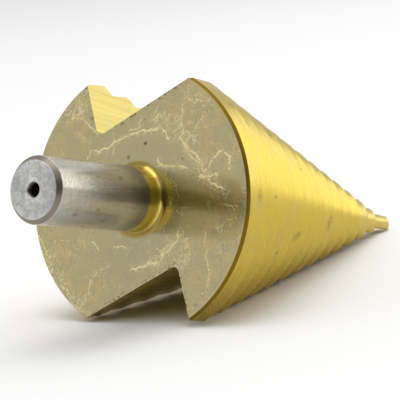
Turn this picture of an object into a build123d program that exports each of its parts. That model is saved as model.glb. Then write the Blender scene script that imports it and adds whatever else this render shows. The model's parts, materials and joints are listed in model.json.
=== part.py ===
"""Step drill for sheet metal: fourteen sizes on one cone, two straight V flutes, round shank.

The drill is ground from one piece of steel. It is modelled along +Z, with the flat back face at
Z = 0, the shank below it and the tip above, and seen from the tip it cuts anticlockwise.
At the end it is laid down as it comes to rest: on the two edges of one flute and on its tip.
"""
from build123d import *
from math import atan2, cos, degrees, hypot, radians, sin, sqrt, tan
import os

# Diameters of the steps, mm. The first step is the one at the tip.
first_diameter = 4.0
second_diameter = 6.0
diameter_growth = 3.0  # what each step after the second adds
step_count = 14

# Lengths along the axis, mm
first_step_length = 6.0  # front edge of the first step to front edge of the second
step_length = 5.0  # front edge to front edge on the other steps
widest_land_length = 4.0  # front edge of the widest step to the back face

# Cutting geometry
chamfer_angle = 45.0  # degrees between the cone in front of each land and the axis
rear_chamfer_width = 0.3  # across the back face
rear_chamfer_length = 0.6  # along the axis
heel_relief = 0.35  # how much lower than its cutting edge a land is at its heel
point_angle = 118.0
lip_relief_angle = 8.0  # tilt of each point cone that lets the surface behind a lip fall away

# Flutes. Each has a rake wall that carries the cutting edges, and a long wall that ends at the
# heel of the other lobe. Both are planes that come nearer to the axis towards the tip.
rake_wall_angle = 68.0  # degrees round from +X, seen from the tip
flute_angle = 81.0  # between the two walls
flute_root_radius = 1.0
flute_depth = 8.65  # rim to long wall at the back face, square to that wall
web_at_tip = 0.8  # thickness left between the two long walls at the first step's front edge
rake_offset_at_back = 4.9  # distance from the axis to the plane of the rake wall
rake_offset_at_tip = 1.0

# Shank
shank_diameter = 10.0
shank_length = 23.6
shank_chamfer = 0.7
shank_fillet = 1.0
centre_hole_diameter = 2.0
centre_hole_depth = 5.0
centre_mouth_diameter = 2.4
centre_mouth_angle = 60.0

# Worked out from the sizes above
diameters = [first_diameter] + [second_diameter + diameter_growth * i for i in range(step_count - 1)]
widest_radius = diameters[-1] / 2
tip_edge_height = widest_land_length + step_length * (step_count - 2) + first_step_length
apex_height = tip_edge_height + first_diameter / 2 / tan(radians(point_angle / 2))
long_wall_angle = rake_wall_angle + flute_angle
beyond = widest_radius  # how far cutting shapes reach past what they cut


def direction(angle):
    """Unit vector at an angle round the drill's axis."""
    return Vector(cos(radians(angle)), sin(radians(angle)), 0)


def angle_of(point):
    """Angle of a point round the drill's axis."""
    return degrees(atan2(point.Y, point.X))


def flute_root(core_half, rake_offset):
    """Where the two wall planes of a flute meet, from their distances to the axis."""
    along_rake = direction(rake_wall_angle) * core_half
    along_long_wall = direction(long_wall_angle) * rake_offset
    return (along_rake - along_long_wall) / sin(radians(flute_angle))


def wall_meets_rim(root, wall_angle):
    """Point where a flute wall that starts at its root reaches the widest rim."""
    wall = direction(wall_angle)
    along = root.dot(wall)
    return root + wall * (sqrt(along**2 - root.dot(root) + widest_radius**2) - along)


root_at_back = flute_root(widest_radius - flute_depth, rake_offset_at_back)
root_at_tip = flute_root(web_at_tip / 2, rake_offset_at_tip) + Vector(0, 0, tip_edge_height)
edge_angle = angle_of(wall_meets_rim(root_at_back, rake_wall_angle))
heel_angle = angle_of(wall_meets_rim(root_at_back, long_wall_angle))
lobe_angle = 180 - (heel_angle - edge_angle)
flute_middle_angle = (edge_angle + heel_angle) / 2
relief_offset = heel_relief / (1 - cos(radians(lobe_angle)))


def stepped_blank():
    """Turned blank of the whole cone, smaller all round by the relief offset."""
    radii = [diameter / 2 - relief_offset for diameter in reversed(diameters)]
    gaps = [step_length] * (step_count - 2) + [first_step_length]
    height = widest_land_length
    outline = [
        (0, 0),
        (radii[0] - rear_chamfer_width, 0),
        (radii[0], rear_chamfer_length),
        (radii[0], height),
    ]
    for radius, next_radius, gap in zip(radii, radii[1:], gaps):
        chamfer_length = (radius - next_radius) / tan(radians(chamfer_angle))
        outline.append((next_radius, height + chamfer_length))
        height += gap
        outline.append((next_radius, height))
    outline += [(radii[-1], apex_height), (0, apex_height)]
    profile = make_face(Plane.XZ * Polyline(outline, close=True))
    return revolve(profile, Axis.Z)


def point_cone():
    """Cone that shapes the point on one lobe. Its tilt gives the lip its angle and relieves the rest."""
    height = apex_height + beyond
    base_radius = height * tan(radians(point_angle / 2 - lip_relief_angle))
    cone = Cone(base_radius, 0, height, align=(Align.CENTER, Align.CENTER, Align.MAX))
    tilted = cone.rotate(Axis((0, 0, 0), direction(edge_angle - 90)), lip_relief_angle)
    return Pos(0, 0, apex_height) * tilted


def lobe():
    """Half of the cone. Its lands are round an axis moved towards the cutting edge."""
    shifted = Pos(direction(edge_angle) * relief_offset) * stepped_blank()
    size = 2 * (widest_radius + beyond)
    half_space = Pos(size / 2, 0, apex_height / 2) * Box(size, size, apex_height + beyond)
    side = Rot(0, 0, flute_middle_angle - 90) * half_space
    return shifted & side & point_cone()


def flute():
    """Straight V groove with a round root. Its root line runs in towards the axis at the tip."""
    run = root_at_tip - root_at_back
    start = root_at_back - run * (beyond / run.Z)
    reach = 2 * widest_radius + beyond
    corners = [
        start,
        start + direction(rake_wall_angle) * reach,
        start + direction(long_wall_angle) * reach,
    ]
    section = make_face(Polyline(*corners, close=True))
    root_corner = section.vertices().sort_by_distance(start)[0]
    section = fillet(root_corner, flute_root_radius)
    length = run.length * (tip_edge_height + 2 * beyond) / run.Z
    return extrude(section, amount=length, dir=run)


def shank():
    """Turned shank with its end chamfer, centre hole and the fillet to the back face."""
    radius = shank_diameter / 2
    end = -shank_length
    hole_radius = centre_hole_diameter / 2
    mouth_radius = centre_mouth_diameter / 2
    mouth_depth = (mouth_radius - hole_radius) / tan(radians(centre_mouth_angle / 2))
    hole_bottom = end + centre_hole_depth
    hole_apex = hole_bottom + hole_radius / tan(radians(point_angle / 2))
    outline = Polyline(
        (radius + shank_fillet, 0),
        (0, 0),
        (0, hole_apex),
        (hole_radius, hole_bottom),
        (hole_radius, end + mouth_depth),
        (mouth_radius, end),
        (radius - shank_chamfer, end),
        (radius, end + shank_chamfer),
        (radius, -shank_fillet),
    )
    fillet_arc = RadiusArc((radius, -shank_fillet), (radius + shank_fillet, 0), shank_fillet)
    return revolve(make_face(Plane.XZ * (outline + fillet_arc)), Axis.Z)


def drill_on_its_axis():
    """The whole drill, standing on +Z."""
    body = lobe()
    body += Rot(0, 0, 180) * lobe()
    for turn in (0, 180):
        body -= Rot(0, 0, turn) * flute()
    return body + shank()


def resting_plane(body):
    """Plane that the drill lies on: both rim corners of one flute and what touches first ahead.

    Its X direction is the drill's axis as seen from above, towards the tip.
    """
    corners = [Vector(*vertex) for vertex in body.vertices()]
    rim = [c for c in corners if abs(c.Z - widest_land_length) < 0.01 and hypot(c.X, c.Y) > widest_radius - 1]
    edge_side = max(rim, key=lambda c: c.dot(direction(edge_angle)))
    heel_side = max(rim, key=lambda c: c.dot(direction(heel_angle)))
    ahead = [c for c in corners if c.Z > widest_land_length + 1]
    across = heel_side - edge_side

    def rise(corner):
        """Angle that the drill tips forward by before this corner touches the floor."""
        reach = corner - edge_side
        inwards = Vector(0, 0, 1).cross(across).normalized()
        return atan2(reach.dot(inwards), reach.Z)

    touching = min(ahead, key=rise)
    up = (touching - edge_side).cross(across).normalized()
    forward = Vector(0, 0, 1) - up * up.Z
    return Plane(origin=edge_side, x_dir=forward, z_dir=up)


def laid_down(body):
    """The drill in its own frame: at rest on Z = 0, tip towards +X, centred over the origin."""
    resting = body.moved(resting_plane(body).location.inverse())
    box = resting.bounding_box()
    return resting.moved(Location((-box.center().X, -box.center().Y, -box.min.Z)))


os.makedirs("parts", exist_ok=True)
step_drill = laid_down(drill_on_its_axis())
export_step(step_drill, "parts/step_drill.step")
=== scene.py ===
"""A step drill at rest on a pale studio floor.

The drill is one ground piece: bare steel shank, gold-coated back face, stepped cone, flutes and
point. It is built here along its own axis, in millimetres, from the sizes it was designed to,
with its edges broken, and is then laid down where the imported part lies.
"""
import json
from math import cos, degrees, hypot, pi, radians, sin, sqrt, tan

import bmesh
import bpy
from mathutils import Matrix, Quaternion, Vector


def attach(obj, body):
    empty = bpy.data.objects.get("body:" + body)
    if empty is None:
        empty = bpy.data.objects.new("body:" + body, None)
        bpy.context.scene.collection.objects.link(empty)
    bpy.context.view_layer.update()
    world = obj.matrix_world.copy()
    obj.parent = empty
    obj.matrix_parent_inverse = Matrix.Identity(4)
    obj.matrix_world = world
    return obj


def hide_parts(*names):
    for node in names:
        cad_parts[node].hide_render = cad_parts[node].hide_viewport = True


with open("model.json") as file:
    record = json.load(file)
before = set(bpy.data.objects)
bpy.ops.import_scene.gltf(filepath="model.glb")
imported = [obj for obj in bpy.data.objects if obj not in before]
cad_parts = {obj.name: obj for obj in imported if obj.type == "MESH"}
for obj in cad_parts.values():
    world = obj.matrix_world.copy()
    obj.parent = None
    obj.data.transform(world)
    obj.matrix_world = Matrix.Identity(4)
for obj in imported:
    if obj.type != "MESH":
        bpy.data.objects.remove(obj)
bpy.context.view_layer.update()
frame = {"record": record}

MM = 0.001

# Diameters of the steps, mm, from the tip to the rim
first_diameter = 4.0
second_diameter = 6.0
diameter_growth = 3.0
step_count = 14

# Lengths along the axis, mm. The widest land starts at the flat back face.
first_step_length = 6.0
step_length = 5.0
widest_land_length = 4.0

# Chamfer round the back face, mm across it and along the axis
rear_chamfer_width = 0.3
rear_chamfer_length = 0.6

# Cutting geometry, mm and degrees
heel_relief = 0.35
point_angle = 118.0
lip_relief_angle = 8.0
rake_wall_angle = 68.0
flute_angle = 81.0
flute_root_radius = 1.0
flute_depth = 8.65
web_at_tip = 0.8
rake_offset_at_back = 4.9
rake_offset_at_tip = 1.0

# Shank, mm and degrees
shank_diameter = 10.0
shank_length = 23.6
shank_chamfer = 0.7
shank_fillet = 1.0
centre_hole_diameter = 2.0
centre_hole_depth = 5.0
centre_mouth_diameter = 2.4
centre_mouth_angle = 60.0

# How finely the surfaces are divided
turning_steps = 240
fillet_steps = 10
root_steps = 10
edge_break_steps = 2

# Which edges are broken, in degrees between their faces, and how far, mm
sharp_from = 20.0
edge_break = 0.05

# How near two heights or two points count as the same, and a point as on the axis, mm
same_height = 0.001
same_turned_point = 0.0001
same_cut_point = 0.01
same_broken_point = 0.0005
off_axis = 0.01

# How far in from the rim a point of the back face still moves with the relieved land, mm
rim_width = 2.0

# Farther from any scratch than the drill is long, mm
farthest = 1000.0

# Worked out from the sizes above
diameters = [second_diameter + diameter_growth * i for i in range(step_count - 1)]
diameters.insert(0, first_diameter)
radii = [diameter / 2 for diameter in reversed(diameters)]
widest_radius = radii[0]
tip_edge_height = widest_land_length + step_length * (step_count - 2) + first_step_length
apex_height = tip_edge_height + first_diameter / 2 / tan(radians(point_angle / 2))
long_wall_angle = rake_wall_angle + flute_angle
shank_radius = shank_diameter / 2
shank_middle = -(shank_length - shank_chamfer + shank_fillet) / 2


def direction(angle):
    """Unit vector at an angle round the drill's axis."""
    return Vector((cos(radians(angle)), sin(radians(angle)), 0))


def flute_root(core_half, rake_offset, height):
    """Where the two wall planes of a flute meet, from their distances to the axis."""
    along_rake = direction(rake_wall_angle) * core_half
    along_long_wall = direction(long_wall_angle) * rake_offset
    root = (along_rake - along_long_wall) / sin(radians(flute_angle))
    return root + Vector((0, 0, height))


def wall_meets_circle(root, wall_angle, centre, radius):
    """Point where a flute wall that starts at its root crosses a circle round the centre."""
    wall = direction(wall_angle)
    start = (root - centre).to_2d()
    along = start.dot(wall.to_2d())
    return root + wall * (sqrt(along**2 - start.dot(start) + radius**2) - along)


def angle_of(point):
    """Angle of a point round the drill's axis."""
    return degrees(Vector((1, 0)).angle_signed(point.to_2d()) * -1)


root_at_back = flute_root(widest_radius - flute_depth, rake_offset_at_back, 0)
root_at_tip = flute_root(web_at_tip / 2, rake_offset_at_tip, tip_edge_height)
root_run = (root_at_tip - root_at_back) / tip_edge_height
edge_angle = angle_of(wall_meets_circle(root_at_back, rake_wall_angle, Vector(), widest_radius))
heel_angle = angle_of(wall_meets_circle(root_at_back, long_wall_angle, Vector(), widest_radius))
flute_middle_angle = (edge_angle + heel_angle) / 2
relief_offset = heel_relief / (1 - cos(radians(180 - heel_angle + edge_angle)))


def resting_placement():
    """Matrix from the drill's own axes, in mm, to the row frame, in m.

    The shank's mount gives the axis and the back face. Round its axis the drill is turned so that
    both rim corners of one flute are level.
    """
    mount = frame["record"]["mounts"][0]
    axis = -Vector(mount["axis"]).normalized()
    origin = Vector(mount["pos_m"]) - axis * shank_middle * MM
    root = root_at_back + root_run * widest_land_length
    land_radius = widest_radius - relief_offset
    lobe_shift = direction(edge_angle) * relief_offset
    edge_corner = wall_meets_circle(root, rake_wall_angle, lobe_shift, land_radius)
    heel_corner = wall_meets_circle(root, long_wall_angle, -lobe_shift, land_radius)
    across = (heel_corner - edge_corner).normalized()
    upright = across.cross(Vector((0, 0, 1)))
    if upright.dot(direction(flute_middle_angle)) > 0:
        upright = -upright
    up = upright * sqrt(1 - axis.z**2) + Vector((0, 0, axis.z))
    forward = (Vector((0, 0, 1)) - up * up.z).normalized()
    turn = Matrix((forward, up.cross(forward), up))
    return Matrix.Translation(origin) @ turn.to_4x4() @ Matrix.Scale(MM, 4)


placement = resting_placement()


def mesh_object(name, bm):
    """New object that holds a bmesh."""
    mesh = bpy.data.meshes.new(name)
    bm.to_mesh(mesh)
    bm.free()
    made = bpy.data.objects.new(name, mesh)
    bpy.context.scene.collection.objects.link(made)
    return made


def blank_outline():
    """Half section of the turned blank as (radius, height), from the centre hole to the apex."""
    end = -shank_length
    hole_radius = centre_hole_diameter / 2
    mouth_radius = centre_mouth_diameter / 2
    mouth_depth = (mouth_radius - hole_radius) / tan(radians(centre_mouth_angle / 2))
    hole_bottom = end + centre_hole_depth
    outline = [
        (0, hole_bottom + hole_radius / tan(radians(point_angle / 2))),
        (hole_radius, hole_bottom),
        (hole_radius, end + mouth_depth),
        (mouth_radius, end),
        (shank_radius - shank_chamfer, end),
        (shank_radius, end + shank_chamfer),
    ]
    for i in range(fillet_steps + 1):
        turn = pi / 2 * i / fillet_steps
        across = shank_radius + shank_fillet * (1 - cos(turn))
        outline.append((across, shank_fillet * (sin(turn) - 1)))
    land_radii = [radius - relief_offset for radius in radii]
    gaps = [step_length] * (step_count - 2) + [first_step_length]
    height = widest_land_length
    outline += [(land_radii[0] - rear_chamfer_width, 0), (land_radii[0], rear_chamfer_length)]
    outline.append((land_radii[0], height))
    for radius, next_radius, gap in zip(land_radii, land_radii[1:], gaps):
        outline.append((next_radius, height + radius - next_radius))
        height += gap
        outline.append((next_radius, height))
    outline.append((0, apex_height))
    return outline


def point_fall(angle):
    """How steeply the tilted point cone of a lobe falls from the apex, at an angle from its lip."""
    lean = sin(radians(lip_relief_angle)) * cos(radians(angle))
    upright = cos(radians(lip_relief_angle))
    opening = cos(radians(point_angle / 2 - lip_relief_angle))
    spread = upright**2 - opening**2
    return (sqrt((lean * upright) ** 2 - spread * (lean**2 - opening**2)) - lean * upright) / spread


def relieve(vertex):
    """Moves a vertex of the cone to the shifted land, or to the point cone, of its lobe."""
    side = direction(flute_middle_angle - 90)
    lobe = 1 if vertex.co.dot(side) > 0 else -1
    vertex.co += direction(edge_angle) * relief_offset * lobe
    if abs(vertex.co.z - tip_edge_height) < same_height:
        place = vertex.co * lobe
        radius = hypot(place.x, place.y)
        vertex.co.z = apex_height - radius * point_fall(angle_of(place) - edge_angle)


def turned_blank():
    """The whole drill as turned, with the lands relieved behind their cutting edges."""
    bm = bmesh.new()
    start = direction(flute_middle_angle)
    corners = [start * radius + Vector((0, 0, height)) for radius, height in blank_outline()]
    verts = [bm.verts.new(corner) for corner in corners]
    edges = [bm.edges.new(pair) for pair in zip(verts, verts[1:])]
    bmesh.ops.spin(
        bm, geom=verts + edges, cent=(0, 0, 0), axis=(0, 0, 1), dvec=(0, 0, 0),
        angle=2 * pi, steps=turning_steps, use_merge=True, use_duplicate=False,
    )
    bmesh.ops.remove_doubles(bm, verts=bm.verts[:], dist=same_turned_point)
    for vertex in bm.verts:
        radius = hypot(vertex.co.x, vertex.co.y)
        on_rim = abs(vertex.co.z) < same_height and radius > widest_radius - rim_width
        if radius > off_axis and (on_rim or vertex.co.z > same_height):
            relieve(vertex)
    bmesh.ops.recalc_face_normals(bm, faces=bm.faces[:])
    return mesh_object("blank", bm)


def flute_cutter(turn):
    """V prism with a round root that grinds one flute."""
    beyond = widest_radius
    reach = 3 * widest_radius
    rake = direction(rake_wall_angle)
    long_wall = direction(long_wall_angle)
    start = root_at_back - root_run * beyond
    half = radians(flute_angle / 2)
    middle = (rake + long_wall).normalized()
    centre = start + middle * flute_root_radius / sin(half)
    outline = [start + rake * reach]
    first_turn = rake_wall_angle - 90
    turned = flute_angle - 180
    for i in range(root_steps + 1):
        outward = direction(first_turn + turned * i / root_steps)
        outline.append(centre + outward * flute_root_radius)
    outline.append(start + long_wall * reach)
    bm = bmesh.new()
    face = bm.faces.new([bm.verts.new(corner) for corner in outline])
    grown = bmesh.ops.extrude_face_region(bm, geom=[face])
    far = [item for item in grown["geom"] if isinstance(item, bmesh.types.BMVert)]
    run = root_run * (apex_height + 2 * beyond)
    bmesh.ops.translate(bm, verts=far, vec=run)
    turning = Matrix.Rotation(radians(turn), 3, "Z")
    bmesh.ops.rotate(bm, verts=bm.verts[:], cent=(0, 0, 0), matrix=turning)
    bmesh.ops.recalc_face_normals(bm, faces=bm.faces[:])
    return mesh_object(f"flute_cutter_{turn}", bm)


def cut(piece, cutter):
    """Takes the cutter's shape out of the piece and deletes the cutter."""
    modifier = piece.modifiers.new("cut", "BOOLEAN")
    modifier.operation = "DIFFERENCE"
    modifier.solver = "EXACT"
    modifier.material_mode = "TRANSFER"
    modifier.object = cutter
    graph = bpy.context.evaluated_depsgraph_get()
    result = bpy.data.meshes.new_from_object(piece.evaluated_get(graph))
    piece.modifiers.clear()
    piece.data = result
    bpy.data.objects.remove(cutter)


def break_edges(piece):
    """Rounds every sharp edge a little and marks the new faces, which is where the wear shows."""
    bm = bmesh.new()
    bm.from_mesh(piece.data)
    bmesh.ops.remove_doubles(bm, verts=bm.verts[:], dist=same_cut_point)
    worn = bm.faces.layers.float.new("worn_edge")
    sharp = [
        edge for edge in bm.edges
        if len(edge.link_faces) == 2 and edge.calc_face_angle() > radians(sharp_from)
    ]
    made = bmesh.ops.bevel(
        bm, geom=sharp, offset=edge_break, offset_type="OFFSET", affect="EDGES",
        segments=edge_break_steps, profile=0.5, material=-1, clamp_overlap=False,
    )
    for face in made["faces"]:
        face[worn] = 1.0
    bmesh.ops.remove_doubles(bm, verts=bm.verts[:], dist=same_broken_point)
    for face in bm.faces:
        face.smooth = True
    bm.transform(placement)
    bm.to_mesh(piece.data)
    bm.free()


def add(tree, kind, inputs=None, **settings):
    """New node with its settings, and its inputs as values or as the sockets that feed them."""
    made = tree.nodes.new(kind)
    for name, value in settings.items():
        setattr(made, name, value)
    for name, value in (inputs or {}).items():
        feed(tree, made.inputs[name], value)
    return made


def feed(tree, socket, value):
    """Gives a socket its value, or links it to the socket that feeds it."""
    if isinstance(value, bpy.types.NodeSocket):
        tree.links.new(value, socket)
    else:
        socket.default_value = value


def calc(tree, operation, *values):
    """Result of a math node."""
    return add(tree, "ShaderNodeMath", dict(enumerate(values)), operation=operation).outputs[0]


def vector_calc(tree, operation, *values):
    """Result of a vector math node: a number for a dot product or a length, else a vector."""
    made = add(tree, "ShaderNodeVectorMath", dict(enumerate(values)), operation=operation)
    return made.outputs["Value" if operation in ("DOT_PRODUCT", "LENGTH") else "Vector"]


def scaled(tree, vector, factor):
    """A vector times a number."""
    made = add(tree, "ShaderNodeVectorMath", {"Vector": vector, "Scale": factor}, operation="SCALE")
    return made.outputs["Vector"]


def step(tree, value, start, end):
    """Smooth step from 0 at one value to 1 at another."""
    made = add(
        tree, "ShaderNodeMapRange", {"Value": value, "From Min": start, "From Max": end},
        interpolation_type="SMOOTHSTEP",
    )
    return made.outputs["Result"]


def blend(tree, factor, first, second):
    """Mix of two colours."""
    made = add(tree, "ShaderNodeMix", data_type="RGBA")
    for index, value in ((0, factor), (6, first), (7, second)):
        feed(tree, made.inputs[index], value)
    return made.outputs[2]


def mix_value(tree, factor, first, second):
    """Mix of two numbers."""
    inputs = {0: factor, 2: first, 3: second}
    return add(tree, "ShaderNodeMix", inputs, data_type="FLOAT").outputs[0]


def product(tree, *values):
    """Numbers multiplied with each other."""
    result = values[0]
    for value in values[1:]:
        result = calc(tree, "MULTIPLY", result, value)
    return result


def strongest(tree, *masks):
    """The largest of some masks at each place."""
    result = masks[0]
    for mask in masks[1:]:
        result = calc(tree, "MAXIMUM", result, mask)
    return result


def covered(tree, base, *layers):
    """A colour with others laid over it, each given as its mask, its strength and its colour."""
    for mask, strength, layer in layers:
        shown = mask if strength == 1 else product(tree, mask, strength)
        base = blend(tree, shown, base, layer)
    return base


def noise(tree, point, scale, detail=2.0, roughness=0.5):
    """Noise value at a point."""
    made = add(
        tree, "ShaderNodeTexNoise",
        {"Vector": point, "Scale": scale, "Detail": detail, "Roughness": roughness},
    )
    return made.outputs[0]


def colour(red, green, blue):
    """Opaque colour for a shader's socket."""
    return (red, green, blue, 1)


def shader_group(name, inputs, output):
    """New shader node group, with its inputs as (name, kind) pairs and one output number."""
    group = bpy.data.node_groups.new(name, "ShaderNodeTree")
    for label, kind in inputs:
        group.interface.new_socket(name=label, in_out="INPUT", socket_type="NodeSocket" + kind)
    group.interface.new_socket(name=output, in_out="OUTPUT", socket_type="NodeSocketFloat")
    given = group.nodes.new("NodeGroupInput").outputs
    result = group.nodes.new("NodeGroupOutput").inputs[output]
    return group, given, result


def effect(tree, group, **inputs):
    """Places a node group in a material and gives back its output."""
    return add(tree, "ShaderNodeGroup", node_tree=group, inputs=inputs).outputs[0]


def grinding_lines_group():
    """Lines that a wheel leaves. Fineness is lines per mm in each direction, low along them."""
    group, given, result = shader_group(
        "grinding_lines", [("Point", "Vector"), ("Fineness", "Vector")], "Lines"
    )
    drawn = vector_calc(group, "MULTIPLY", given["Point"], given["Fineness"])
    both = calc(group, "ADD", noise(group, drawn, scale=1.0), noise(group, drawn, scale=3.3))
    group.links.new(step(group, both, 0.75, 1.25), result)
    return group


def clouding_group():
    """Soft patches, as handling and uneven coating leave them. Size is in mm."""
    group, given, result = shader_group(
        "clouding", [("Point", "Vector"), ("Size", "Float")], "Clouds"
    )
    scale = calc(group, "DIVIDE", 1.0, given["Size"])
    patches = noise(group, given["Point"], scale, detail=5.0, roughness=0.6)
    group.links.new(step(group, patches, 0.35, 0.65), result)
    return group


def edge_wear_group():
    """Bare spots along the broken edges."""
    group, given, result = shader_group(
        "edge_wear", [("Point", "Vector"), ("Share", "Float")], "Worn"
    )
    edge = add(group, "ShaderNodeAttribute", attribute_name="worn_edge").outputs["Fac"]
    rubbed = noise(group, given["Point"], scale=0.9, detail=4.0, roughness=0.7)
    start = calc(group, "SUBTRACT", 0.75, calc(group, "MULTIPLY", given["Share"], 0.5))
    spots = step(group, rubbed, start, calc(group, "ADD", start, 0.08))
    group.links.new(calc(group, "MULTIPLY", edge, spots), result)
    return group


def specks_group():
    """Small round specks. Size is their spacing in mm, and Share how many cells have one."""
    group, given, result = shader_group(
        "specks", [("Point", "Vector"), ("Size", "Float"), ("Share", "Float")], "Specks"
    )
    scale = calc(group, "DIVIDE", 1.0, given["Size"])
    cells = add(group, "ShaderNodeTexVoronoi", {"Vector": given["Point"], "Scale": scale})
    chance = add(group, "ShaderNodeSeparateColor", {"Color": cells.outputs["Color"]}).outputs
    chosen = calc(group, "LESS_THAN", chance["Red"], given["Share"])
    size = calc(group, "MULTIPLY_ADD", chance["Green"], 0.12, 0.06)
    spot = calc(group, "LESS_THAN", cells.outputs["Distance"], size)
    group.links.new(calc(group, "MULTIPLY", chosen, spot), result)
    return group


def squiggles_group():
    """Thin curled hairlines. Size is how large they curl in mm, and Width how broad they are."""
    group, given, result = shader_group(
        "squiggles", [("Point", "Vector"), ("Size", "Float"), ("Width", "Float")], "Hairlines"
    )
    scale = calc(group, "DIVIDE", 1.0, given["Size"])
    hills = noise(group, given["Point"], scale, roughness=0.7)
    contour = calc(group, "SUBTRACT", hills, 0.5)
    line = step(group, calc(group, "ABSOLUTE", contour), given["Width"], 0.0)
    breaks = noise(group, given["Point"], calc(group, "MULTIPLY", scale, 1.7), detail=1.0)
    group.links.new(calc(group, "MULTIPLY", line, step(group, breaks, 0.42, 0.48)), result)
    return group


def stroke_group():
    """One scratch through four points, as a mask that falls off over its width."""
    corners = ["First", "Second", "Third", "Fourth"]
    places = [(name, "Vector") for name in ["Point"] + corners]
    group, given, result = shader_group("stroke", places + [("Width", "Float")], "Stroke")
    nearest = farthest
    for start, end in zip(corners, corners[1:]):
        run = vector_calc(group, "SUBTRACT", given[end], given[start])
        reach = vector_calc(group, "SUBTRACT", given["Point"], given[start])
        along = vector_calc(group, "DOT_PRODUCT", reach, run)
        share = calc(group, "DIVIDE", along, vector_calc(group, "DOT_PRODUCT", run, run))
        share = calc(group, "MINIMUM", calc(group, "MAXIMUM", share, 0.0), 1.0)
        gap = vector_calc(group, "SUBTRACT", reach, scaled(group, run, share))
        nearest = calc(group, "MINIMUM", nearest, vector_calc(group, "LENGTH", gap))
    group.links.new(step(group, nearest, given["Width"], 0.0), result)
    return group


grinding_lines = grinding_lines_group()
clouding = clouding_group()
edge_wear = edge_wear_group()
specks = specks_group()
squiggles = squiggles_group()
stroke = stroke_group()


def four_corners(line):
    """A line's corners in space. A shorter line is filled up with tiny runs past its end."""
    corners = [Vector((*corner, 0)[:3]) for corner in line]
    while len(corners) < 4:
        corners.append(corners[-1] + (corners[-1] - corners[-2]) * 0.01)
    return [tuple(corner) for corner in corners]


def strokes(tree, point, width, lines):
    """All the lines of a list as one mask. A corner is in mm, and on the back face if flat."""
    drawn = []
    for line in lines:
        first, second, third, fourth = four_corners(line)
        drawn.append(effect(
            tree, stroke, Point=point, First=first, Second=second, Third=third, Fourth=fourth,
            Width=width,
        ))
    return strongest(tree, *drawn)


# Scratches on the back face, mm from the axis: right and down as the face is looked at
deep_scratches = [
    [(-8.5, -6.5), (-5.5, -8.5), (-0.5, -10.5), (3, -11)],
    [(3, -11), (4, -10.5), (5, -9.5)],
    [(7, -10), (9, -7.5), (11.5, -6), (12.5, -5)],
    [(8, -9), (10.5, -7.5), (12, -6)],
    [(12.5, -5), (13.5, -7), (15, -8.5), (16.5, -8)],
    [(16.5, -8), (17, -6)],
    [(11.5, -4.5), (12.5, -4.5), (14.5, -5)],
    [(13, -4.5), (14, -3.5), (16, -3)],
    [(3, -6.5), (4, -5.5), (6.5, -5.5), (9, -5.5)],
    [(0.5, 10.5), (2.5, 10), (5, 9)],
    [(6, 8), (7.5, 6.5), (8.5, 5.5), (8.5, 4.5)],
]
light_scratches = [
    [(-7.5, 15.5), (-7.5, 13), (-6.5, 12), (-4, 10.5)],
    [(7, -15), (7, -13), (7.5, -11)],
    [(1.5, -12.5), (3, -13), (4.5, -11.5)],
    [(11, -13.5), (9.5, -11)],
    [(-3, -10.5), (-1, -11), (-0.5, -12.5)],
    [(-14.5, -12.5), (-14.5, -11.5), (-12.5, -13)],
    [(-14.5, -11.5), (-12, -11.5), (-10.5, -10.5), (-9, -9.5)],
    [(-5.5, -8), (-5.5, -6.5)],
    [(-10.5, -5.5), (-10, -7), (-8.5, -6.5)],
    [(5.5, 7.5), (8, 5.5)],
    [(9.5, 8.5), (10.5, 8), (11, 7), (10, 5)],
    [(13.5, 4), (14, 6.5), (15, 9), (15, 12)],
    [(-3.5, 7.5), (-1, 7.5)],
    [(-8, 7), (-6.5, 8.5)],
    [(-19, 7), (-16.5, 10.5)],
    [(-9, 17.5), (-8, 16)],
]
tangles = [
    [(6.5, -11), (9.5, -10)],
    [(11.5, -5.5), (13.5, -4.5)],
    [(9.5, 8.5), (11, 7), (9.5, 4.5)],
    [(2, -13), (6, -12)],
    [(-15, -12), (-12.5, -13)],
    [(8, -16.5), (11.5, -15)],
    [(4.5, 9), (8, 5.5)],
    [(-18, 9), (-12, 15.5), (-8.5, 18.5)],
]
pits = [
    [(0.6, -8.6), (0.65, -8.65)],
]

# Dark rubbed spots on the lands and on the shank, mm along the drill's own axes
land_smudges = [
    [(13.5, -16, 3), (14, -15.5, 3)],
    [(14, -13.5, 7), (15, -13, 7.5)],
    [(10.5, -12.5, 18), (12, -11.5, 18.5)],
    [(10.5, 0, 38), (10.5, 1.5, 37.5)],
    [(14.5, 3.5, 22), (14.5, 3, 23)],
    [(14.5, 3.5, 25), (14.5, 4, 26)],
    [(9, 2, 40), (9, 2, 41)],
    [(21, -3, 3), (21, -2, 3)],
]
shank_smudges = [
    [(4, -3, -9.5), (4, -3, -9)],
    [(4, 3, -19), (4, 3, -18.5)],
    [(3.5, 3.5, -12), (3.5, 3.5, -11.5)],
    [(5, 1.5, -6.5), (5, 1.5, -6)],
    [(4.5, 2, -14.5), (4.5, 2, -14)],
]


def flute_edges():
    """The four straight edges that the flutes have on the back face, each from its root."""
    root = root_at_back.to_2d()
    lines = []
    for turned in (1, -1):
        for corner_angle in (edge_angle, heel_angle):
            corner = (direction(corner_angle) * widest_radius).to_2d()
            lines.append([tuple(root * turned), tuple(corner * turned)])
    return lines


def drill_point(tree):
    """Coordinates along the drill's own axes, in mm."""
    location, rotation, scale = placement.inverted().decompose()
    inputs = {
        "Vector": add(tree, "ShaderNodeTexCoord").outputs["Object"],
        "Location": location,
        "Rotation": rotation.to_euler(),
        "Scale": scale,
    }
    return add(tree, "ShaderNodeMapping", inputs).outputs["Vector"]


def height_along(tree, point):
    """How far ahead of the back face a point is, mm."""
    return add(tree, "ShaderNodeSeparateXYZ", {"Vector": point}).outputs["Z"]


def across_axis(tree, vector):
    """A vector without its part along the drill's axis."""
    return vector_calc(tree, "MULTIPLY", vector, (1, 1, 0))


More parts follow.
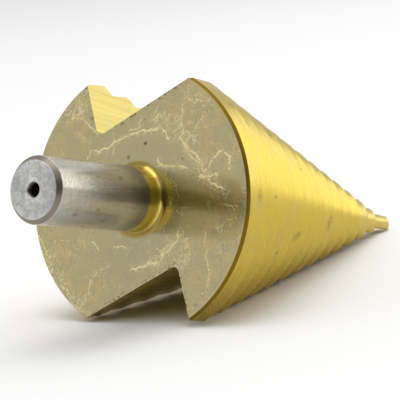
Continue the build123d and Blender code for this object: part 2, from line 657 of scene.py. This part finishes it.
def distance_from_axis(tree, point):
    """How far from the drill's axis a point is, mm."""
    return vector_calc(tree, "LENGTH", across_axis(tree, point))


def along_drill(tree):
    """The drill's axis, across its grinding lines, which is the way they spread the light."""
    axis = (placement.to_3x3() @ Vector((0, 0, 1))).normalized()
    return add(tree, "ShaderNodeCombineXYZ", dict(enumerate(axis))).outputs["Vector"]


def finish(name, index_of_refraction):
    """New material, its node tree and its shader's inputs."""
    made = bpy.data.materials.new(name)
    made.use_nodes = True
    inputs = made.node_tree.nodes["Principled BSDF"].inputs
    inputs["IOR"].default_value = index_of_refraction
    return made, made.node_tree, inputs


def bump(tree, height, depth, under=None):
    """Normal of a surface with a relief. The depth is in mm."""
    inputs = {"Height": height, "Distance": depth * MM, "Strength": 1.0}
    if under:
        inputs["Normal"] = under
    return add(tree, "ShaderNodeBump", inputs).outputs["Normal"]


# Where the finishes change, mm along the axis from the back face. Each pair is a soft border.
chamfer_border = (rear_chamfer_length + 0.02, rear_chamfer_length - 0.02)
# Painted shade: the shank is darkened here, next to the back face
root_shade_border = (-8.0, -3.0)
coating_border = (-2.9, -2.1)
# Where the fillet's painted highlight line starts
fillet_highlight_border = (-1.3, -0.9)
end_chamfer_start = shank_chamfer - shank_length
end_chamfer_border = (end_chamfer_start + edge_break, end_chamfer_start - edge_break)
end_face_border = (2 * edge_break - shank_length, edge_break - shank_length)
hole_border = (-shank_length, 0.4 - shank_length)

# Where they change away from the axis, mm
handled_border = (6.0, 18.0)
flecked_border = (widest_radius - 3.5, widest_radius - 0.5)
rim_edge_border = (widest_radius - 0.62, widest_radius - 0.5)
# Where the painted shade over the fillet's outer part starts
fillet_shade_border = (5.12, 5.3)
fillet_foot_border = (5.7, 5.85)
end_face_rim = (shank_radius - shank_chamfer + edge_break, shank_radius - shank_chamfer)
hole_rim = (centre_mouth_diameter / 2 + 0.1, centre_mouth_diameter / 2 - 0.1)
hole_ring_radius = 1.55
hole_ring_width = 0.35

# Colours of the cone
cone_gold = colour(0.59, 0.43, 0.03)
cone_gold_in_lines = colour(0.52, 0.38, 0.03)
cone_streak = colour(0.44, 0.36, 0.19)
cone_rim_chamfer = colour(0.22, 0.135, 0.005)
cone_worn_edge = colour(0.60, 0.52, 0.32)
cone_smudge = colour(0.17, 0.13, 0.05)

# Colours of the back face
face_gold = colour(0.31, 0.245, 0.035)
face_gold_in_clouds = colour(0.275, 0.225, 0.055)
face_handled = colour(0.52, 0.345, 0.01)
face_grain = colour(0.16, 0.13, 0.015)
face_lines = colour(0.42, 0.32, 0.03)
# Pale gold of the scratches: real wear, partly painted glint
face_scratch_and_glint = colour(1.0, 0.84, 0.36)
face_worn_edge = colour(0.52, 0.48, 0.36)
face_pit = colour(0.09, 0.07, 0.02)
face_gloss_tint = colour(1.0, 0.98, 0.84)

# Colours of the flutes
flute_gold = colour(0.62, 0.50, 0.08)
flute_gold_in_lines = colour(0.54, 0.43, 0.07)
flute_cloud = colour(0.48, 0.38, 0.14)
flute_worn_edge = colour(0.60, 0.57, 0.48)

# Colours of the shank
shank_steel = colour(0.60, 0.575, 0.50)
shank_steel_in_clouds = colour(0.53, 0.50, 0.42)
shank_ring = colour(0.36, 0.33, 0.28)
shank_grain = colour(0.33, 0.30, 0.23)
shank_smudge = colour(0.16, 0.14, 0.10)
# Painted shade on the shank next to the back face
painted_root_shade = colour(0.16, 0.145, 0.12)
shank_end_chamfer = colour(0.26, 0.22, 0.17)
shank_worn_edge = colour(0.75, 0.73, 0.70)
collar_gold = colour(0.62, 0.46, 0.03)
# Painted highlight: bright line at the start of the fillet
fillet_painted_highlight = colour(0.82, 0.64, 0.16)
# Painted shade over the fillet's outer part
fillet_painted_shade = colour(0.32, 0.22, 0.03)
fillet_foot = colour(0.40, 0.32, 0.12)
end_face_steel = colour(0.44, 0.44, 0.43)
end_face_frost = colour(0.76, 0.76, 0.75)
end_face_ring = colour(0.85, 0.85, 0.86)
hole_brown = colour(0.14, 0.11, 0.085)


def coated_cone_material():
    """Gold coating over turned lands, with a darker ring on the rim's chamfer."""
    made, tree, inputs = finish("coated_cone", 3.0)
    point = drill_point(tree)
    chamfer = step(tree, height_along(tree, point), *chamfer_border)
    rings = effect(tree, grinding_lines, Point=point, Fineness=(0.16, 0.16, 3.0))
    clouds = effect(tree, clouding, Point=point, Size=7.0)
    flecked = effect(tree, clouding, Point=point, Size=2.5)
    streaks = product(tree, clouds, flecked, step(tree, rings, 0.4, 0.8))
    bare = effect(tree, edge_wear, Point=point, Share=0.35)
    patchy = step(tree, noise(tree, point, scale=2.0, detail=3.0), 0.34, 0.54)
    smudges = product(tree, strokes(tree, point, 0.9, land_smudges), patchy)
    dark = strongest(tree, effect(tree, specks, Point=point, Size=2.2, Share=0.22), smudges)
    gold = covered(
        tree, blend(tree, rings, cone_gold, cone_gold_in_lines),
        (streaks, 0.65, cone_streak),
        (chamfer, 1.0, cone_rim_chamfer),
        (bare, 0.3, cone_worn_edge),
        (dark, 0.6, cone_smudge),
    )
    feed(tree, inputs["Base Color"], gold)
    feed(tree, inputs["Metallic"], mix_value(tree, chamfer, 0.90, 0.98))
    rough = mix_value(tree, rings, 0.24, 0.31)
    feed(tree, inputs["Roughness"], mix_value(tree, chamfer, rough, 0.5))
    feed(tree, inputs["Normal"], bump(tree, rings, 0.0015))
    return made


def face_scratches(tree, point, clouds):
    """All the scratches of the back face: the drawn ones, with fibres round them, and hairlines."""
    curl = add(tree, "ShaderNodeTexNoise", {"Vector": point, "Scale": 0.7, "Detail": 3.0})
    curl = vector_calc(tree, "SUBTRACT", curl.outputs["Color"], (0.5, 0.5, 0.5))
    shaky = vector_calc(tree, "MULTIPLY_ADD", curl, (1.3, 1.3, 0), point)
    gaps = step(tree, noise(tree, point, scale=1.6), 0.33, 0.45)
    fibres = product(tree, effect(tree, squiggles, Point=point, Size=0.9, Width=0.06), 0.7)
    near_deep = strokes(tree, shaky, 1.2, deep_scratches)
    deep = product(tree, step(tree, near_deep, 0.91, 0.99), gaps)
    deep = strongest(tree, deep, product(tree, near_deep, fibres))
    near_light = strokes(tree, shaky, 0.8, light_scratches)
    light = product(tree, step(tree, near_light, 0.93, 0.995), gaps)
    light = strongest(tree, light, product(tree, near_light, fibres, 0.5))
    hairs = effect(tree, squiggles, Point=point, Size=1.2, Width=0.055)
    tangled = product(tree, strokes(tree, shaky, 2.2, tangles), hairs)
    long_hairs = effect(tree, squiggles, Point=point, Size=5.5, Width=0.010)
    short_hairs = effect(tree, squiggles, Point=shaky, Size=3.2, Width=0.014)
    stray = strongest(tree, long_hairs, short_hairs)
    stray = product(tree, stray, step(tree, clouds, 0.2, 0.9))
    drawn = strongest(
        tree, deep, product(tree, light, 0.75), product(tree, tangled, 0.9),
        product(tree, stray, 0.42),
    )
    chips = step(tree, noise(tree, point, scale=4.0, detail=3.0, roughness=0.7), 0.40, 0.54)
    return product(tree, drawn, mix_value(tree, chips, 0.65, 1.0))


def face_edge_wear(tree, point, radius):
    """Bare steel and dark nicks along the flutes' edges and the rim of the back face."""
    edges = flute_edges()
    patchy = step(tree, noise(tree, point, scale=0.6, detail=3.0), 0.42, 0.55)
    rim = product(tree, step(tree, radius, *rim_edge_border), 0.4)
    rubbed = product(tree, patchy, strongest(tree, rim, strokes(tree, point, 0.25, edges)))
    bare = effect(tree, edge_wear, Point=point, Share=0.8)
    nicks = step(tree, noise(tree, point, scale=1.3, detail=3.0), 0.55, 0.62)
    nicks = product(tree, nicks, strokes(tree, point, 0.9, edges))
    return strongest(tree, bare, rubbed), nicks


def coated_face_material():
    """Gold coating on the ground back face, gone pale and scratched, with worn flute edges."""
    made, tree, inputs = finish("coated_back_face", 4.5)
    point = drill_point(tree)
    radius = distance_from_axis(tree, point)
    lines = effect(tree, grinding_lines, Point=point, Fineness=(2.6, 0.10, 1.0))
    lines_across = effect(tree, grinding_lines, Point=point, Fineness=(0.25, 2.2, 1.0))
    clouds = effect(tree, clouding, Point=point, Size=5.0)
    flecks = effect(tree, specks, Point=point, Size=0.7, Share=0.3)
    flecks = product(tree, flecks, step(tree, radius, *flecked_border), 0.5)
    scratches = strongest(tree, face_scratches(tree, point, clouds), flecks)
    handled = product(
        tree, step(tree, radius, *handled_border), effect(tree, clouding, Point=point, Size=2.2),
        mix_value(tree, clouds, 0.45, 1.0),
    )
    grain = step(tree, noise(tree, point, scale=2.6, detail=6.0, roughness=0.7), 0.45, 0.62)
    rubbed, nicks = face_edge_wear(tree, point, radius)
    dark = effect(tree, specks, Point=point, Size=2.6, Share=0.12)
    pitted = strongest(
        tree, product(tree, dark, 0.5), product(tree, nicks, 0.8), strokes(tree, point, 0.48, pits)
    )
    gold = covered(
        tree, blend(tree, clouds, face_gold, face_gold_in_clouds),
        (handled, 1.0, face_handled),
        (grain, 0.6, face_grain),
        (strongest(tree, lines, lines_across), 0.35, face_lines),
        # Real scratches, whose pale gold is partly painted glint
        (scratches, 1.0, face_scratch_and_glint),
        (rubbed, 0.55, face_worn_edge),
        (pitted, 1.0, face_pit),
    )
    feed(tree, inputs["Base Color"], gold)
    feed(tree, inputs["Metallic"], mix_value(tree, pitted, 0.4, 1.0))
    inputs["Specular Tint"].default_value = face_gloss_tint
    rough = mix_value(tree, clouds, 0.12, 0.17)
    feed(tree, inputs["Roughness"], mix_value(tree, scratches, rough, 0.5))
    feed(tree, inputs["Normal"], bump(tree, scratches, -0.01, bump(tree, lines, 0.0003)))
    return made


def coated_flute_material():
    """Gold coating in the flutes, with wheel lines along them."""
    made, tree, inputs = finish("coated_flute", 2.2)
    point = drill_point(tree)
    away = vector_calc(tree, "DOT_PRODUCT", point, direction(flute_middle_angle))
    side = calc(tree, "SIGN", away)
    run = scaled(tree, tuple(root_run), product(tree, height_along(tree, point), side))
    level = vector_calc(tree, "SUBTRACT", point, across_axis(tree, run))
    lines = effect(tree, grinding_lines, Point=level, Fineness=(3.0, 3.0, 0.03))
    clouds = effect(tree, clouding, Point=point, Size=6.0)
    bare = effect(tree, edge_wear, Point=point, Share=0.7)
    gold = covered(
        tree, blend(tree, lines, flute_gold, flute_gold_in_lines),
        (clouds, 0.3, flute_cloud),
        (bare, 0.7, flute_worn_edge),
    )
    feed(tree, inputs["Base Color"], gold)
    inputs["Metallic"].default_value = 0.6
    feed(tree, inputs["Roughness"], mix_value(tree, lines, 0.24, 0.32))
    feed(tree, inputs["Normal"], bump(tree, lines, 0.0005))
    return made


def fillet_coating(tree, along, radius):
    """Gold of the shank's collar and of the fillet behind it, darker towards the back face, with a
    painted highlight line at the fillet's start and painted shade over its outer part.
    """
    return covered(
        tree, collar_gold,
        # Painted highlight: a bright gold line at the fillet's start
        (step(tree, along, *fillet_highlight_border), 1.0, fillet_painted_highlight),
        # Painted shade: darker outer part of the fillet, in the crease by the back face
        (step(tree, radius, *fillet_shade_border), 1.0, fillet_painted_shade),
        (step(tree, radius, *fillet_foot_border), 1.0, fillet_foot),
    )


def bare_shank_material():
    """Ground steel shank, darkened by painted shade beside the back face. The coating starts softly
    near the back face and covers the fillet.
    """
    made, tree, inputs = finish("bare_shank", 2.5)
    point = drill_point(tree)
    along = height_along(tree, point)
    radius = distance_from_axis(tree, point)
    rings = effect(tree, grinding_lines, Point=point, Fineness=(0.10, 0.10, 5.0))
    clouds = effect(tree, clouding, Point=point, Size=4.0)
    grain = step(tree, noise(tree, point, scale=2.4, detail=6.0, roughness=0.75), 0.46, 0.62)
    spots = effect(tree, specks, Point=point, Size=1.5, Share=0.10)
    spots = strongest(tree, spots, strokes(tree, point, 0.45, shank_smudges))
    uneven = calc(tree, "ADD", noise(tree, point, scale=0.8), along)
    coating = step(tree, uneven, *coating_border)
    end_face = product(
        tree, step(tree, along, *end_face_border), step(tree, radius, *end_face_rim)
    )
    chamfer = calc(tree, "SUBTRACT", step(tree, along, *end_chamfer_border), end_face)
    frosted = mix_value(
        tree, 0.5, effect(tree, clouding, Point=point, Size=1.2),
        effect(tree, clouding, Point=point, Size=0.35),
    )
    ring = calc(tree, "ABSOLUTE", calc(tree, "SUBTRACT", radius, hole_ring_radius))
    ring = product(
        tree, step(tree, ring, hole_ring_width, 0.0),
        step(tree, noise(tree, point, scale=1.4), 0.4, 0.6),
    )
    pale = covered(
        tree, blend(tree, frosted, end_face_steel, end_face_frost), (ring, 0.7, end_face_ring)
    )
    bare = effect(tree, edge_wear, Point=point, Share=0.9)
    inside = product(tree, step(tree, radius, *hole_rim), step(tree, along, *hole_border))
    steel = covered(
        tree, blend(tree, clouds, shank_steel, shank_steel_in_clouds),
        (rings, 0.25, shank_ring),
        (grain, 0.5, shank_grain),
        (spots, 0.6, shank_smudge),
        # Painted shade: darker shank next to the back face
        (step(tree, uneven, *root_shade_border), 0.75, painted_root_shade),
        (coating, 1.0, fillet_coating(tree, along, radius)),
        (chamfer, 1.0, shank_end_chamfer),
        (end_face, 1.0, pale),
        (bare, 0.6, shank_worn_edge),
        (inside, 1.0, hole_brown),
    )
    feed(tree, inputs["Base Color"], steel)
    inputs["Metallic"].default_value = 0.85
    rough = mix_value(tree, clouds, 0.20, 0.25)
    rough = mix_value(tree, chamfer, rough, 0.45)
    feed(tree, inputs["Roughness"], mix_value(tree, end_face, rough, 0.5))
    inputs["Anisotropic"].default_value = 0.75
    feed(tree, inputs["Tangent"], along_drill(tree))
    relief = bump(tree, rings, 0.0006)
    feed(tree, inputs["Normal"], bump(tree, product(tree, frosted, end_face), 0.01, relief))
    return made


def drill():
    """The drill, ground, edge-broken and laid down."""
    piece = turned_blank()
    for made in (coated_cone_material(), coated_face_material(), bare_shank_material()):
        piece.data.materials.append(made)
    face_slot, shank_slot = 1, 2
    flutes = coated_flute_material()
    for polygon in piece.data.polygons:
        height = polygon.center.z
        if height < -same_height:
            polygon.material_index = shank_slot
        elif height < same_height:
            polygon.material_index = face_slot
    for turn in (0, 180):
        cutter = flute_cutter(turn)
        cutter.data.materials.append(flutes)
        cut(piece, cutter)
    break_edges(piece)
    piece.name = "ground_drill"
    weighted = piece.modifiers.new("face_normals", "WEIGHTED_NORMAL")
    weighted.keep_sharp = True
    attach(piece, "root")
    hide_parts("step_drill")


# Camera at the photograph's viewing angle, degrees and metres, with its lens in mm
view_azimuth = -52.47
view_elevation = 8.76
view_roll = -6.36
view_distance = 0.307
view_aim = Vector((-0.016845, -0.007698, 0.017392))
view_lens = 181.6
view_sensor_width = 36
view_nearest = 0.01
view_farthest = 20

# Studio. The surroundings are dim on one side, up to a height, and even elsewhere.
floor_radius = 3.0
floor_white = colour(0.96, 0.96, 0.96)
surroundings_strength = 0.82
dim_strength = 0.02
dim_side = (-0.70, -0.70, 0.14)
dim_side_border = (0.3, 0.75)
dim_top_border = (0.78, 0.48)


def away_from_drill(azimuth, elevation):
    """Unit vector towards a place round the drill, from its azimuth and elevation in degrees."""
    azimuth, elevation = radians(azimuth), radians(elevation)
    return Vector((sin(azimuth) * cos(elevation), -cos(azimuth) * cos(elevation), sin(elevation)))


def add_camera():
    """Camera at the photograph's viewing angle."""
    back = away_from_drill(view_azimuth, view_elevation)
    data = bpy.data.cameras.new("view")
    data.sensor_width = view_sensor_width
    data.lens = view_lens
    data.clip_start = view_nearest
    data.clip_end = view_farthest
    camera = bpy.data.objects.new("view", data)
    camera.location = view_aim + back * view_distance
    camera.rotation_mode = "QUATERNION"
    level = (-back).to_track_quat("-Z", "Y")
    camera.rotation_quaternion = level @ Quaternion((0, 0, 1), radians(view_roll))
    bpy.context.scene.collection.objects.link(camera)
    bpy.context.scene.camera = camera


def softbox(name, azimuth, elevation, distance, width, height, brightness):
    """Soft lamp that faces the drill. Its brightness is the radiance of its surface."""
    data = bpy.data.lights.new(name, "AREA")
    data.shape = "RECTANGLE"
    data.size = width
    data.size_y = height
    data.energy = brightness * pi * width * height
    away = away_from_drill(azimuth, elevation)
    lamp = bpy.data.objects.new(name, data)
    lamp.location = away * distance
    lamp.rotation_mode = "QUATERNION"
    lamp.rotation_quaternion = (-away).to_track_quat("-Z", "Y")
    bpy.context.scene.collection.objects.link(lamp)


def pale_floor():
    """Plain matt floor."""
    bm = bmesh.new()
    bmesh.ops.create_circle(bm, cap_ends=True, segments=96, radius=floor_radius)
    floor = mesh_object("floor", bm)
    paint = bpy.data.materials.new("floor_paint")
    paint.use_nodes = True
    shader = paint.node_tree.nodes["Principled BSDF"]
    shader.inputs["Base Color"].default_value = floor_white
    shader.inputs["Roughness"].default_value = 0.9
    floor.data.materials.append(paint)


def surroundings():
    """Plain white surroundings with one dim side, which the polished surfaces mirror."""
    world = bpy.data.worlds.new("surroundings")
    bpy.context.scene.world = world
    world.use_nodes = True
    tree = world.node_tree
    seen = add(tree, "ShaderNodeTexCoord").outputs["Generated"]
    height = add(tree, "ShaderNodeSeparateXYZ", {"Vector": seen}).outputs["Z"]
    towards_dim_side = vector_calc(tree, "DOT_PRODUCT", seen, dim_side)
    dimmed = product(
        tree, step(tree, towards_dim_side, *dim_side_border), step(tree, height, *dim_top_border)
    )
    background = tree.nodes["Background"].inputs
    background["Color"].default_value = colour(1, 1, 1)
    feed(tree, background["Strength"], mix_value(tree, dimmed, surroundings_strength, dim_strength))


def studio():
    """Pale floor, even surroundings and soft lamps."""
    pale_floor()
    surroundings()
    softbox(
        "side_softbox", azimuth=62, elevation=13, distance=0.8, width=0.8, height=0.45,
        brightness=1.25,
    )
    softbox(
        "top_softbox", azimuth=0, elevation=90, distance=1.3, width=0.9, height=0.9,
        brightness=2.3,
    )
    bpy.context.scene.view_settings.view_transform = "Standard"


add_camera()
drill()
studio()
